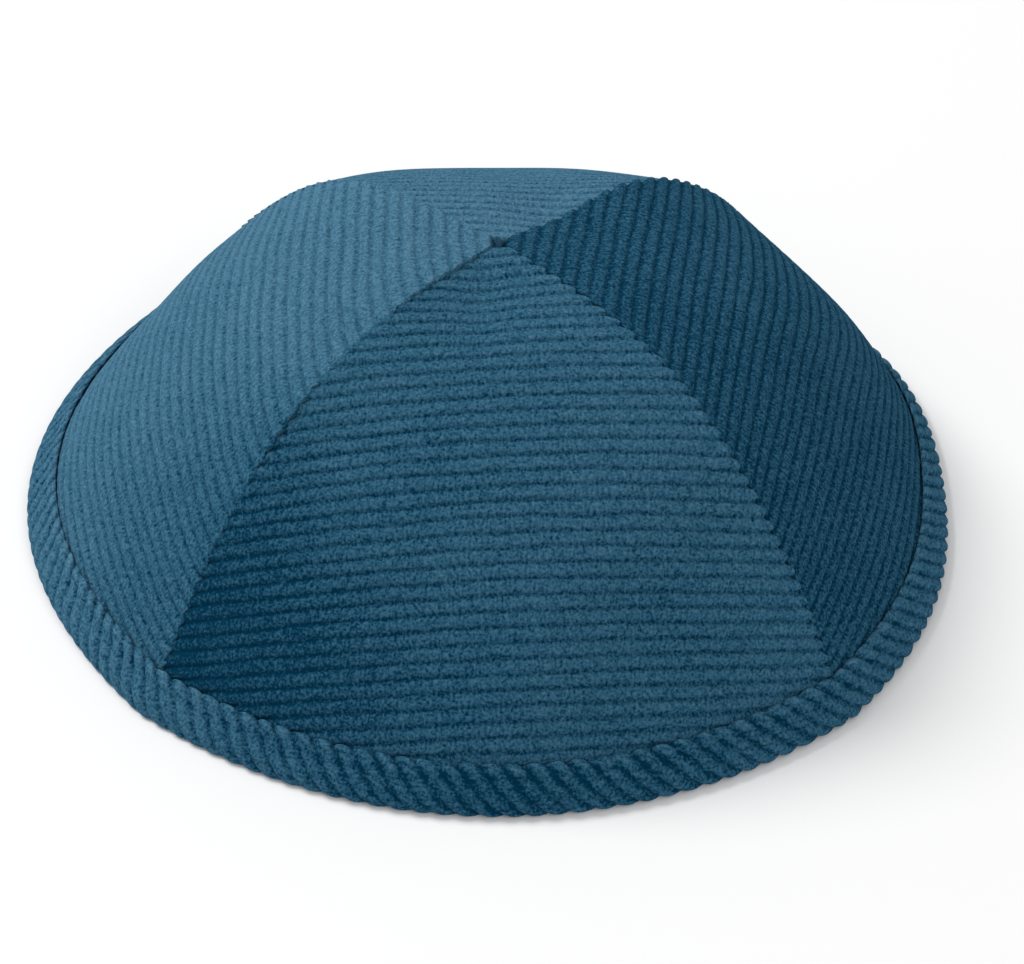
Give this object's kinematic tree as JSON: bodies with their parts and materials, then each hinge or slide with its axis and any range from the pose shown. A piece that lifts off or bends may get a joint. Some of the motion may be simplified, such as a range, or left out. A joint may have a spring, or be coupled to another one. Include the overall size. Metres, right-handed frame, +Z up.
{
  "type": "kippah skullcap",
  "caption": "Round skullcap of corduroy gores meeting at the top, with mitred ribs at the seams and a bias-cut binding round the open rim.",
  "frame": {"origin": "middle of the rim, on the surface that the cap stands on", "axes": "+Z up through the crown, -Y towards the front gore, +X to the right as seen from the front"},
  "size_m": [0.145, 0.1473, 0.0511],
  "materials": {
    "corduroy": "blue cotton corduroy, soft matt pile",
    "binding_corduroy": "the same corduroy cut on the bias"
  },
  "bodies": {
    "root": {"crown_panel_front": "corduroy", "crown_panel_right": "corduroy", "crown_panel_back": "corduroy", "crown_panel_left": "corduroy", "rim_binding": "binding_corduroy"}
  },
  "joints": []
}
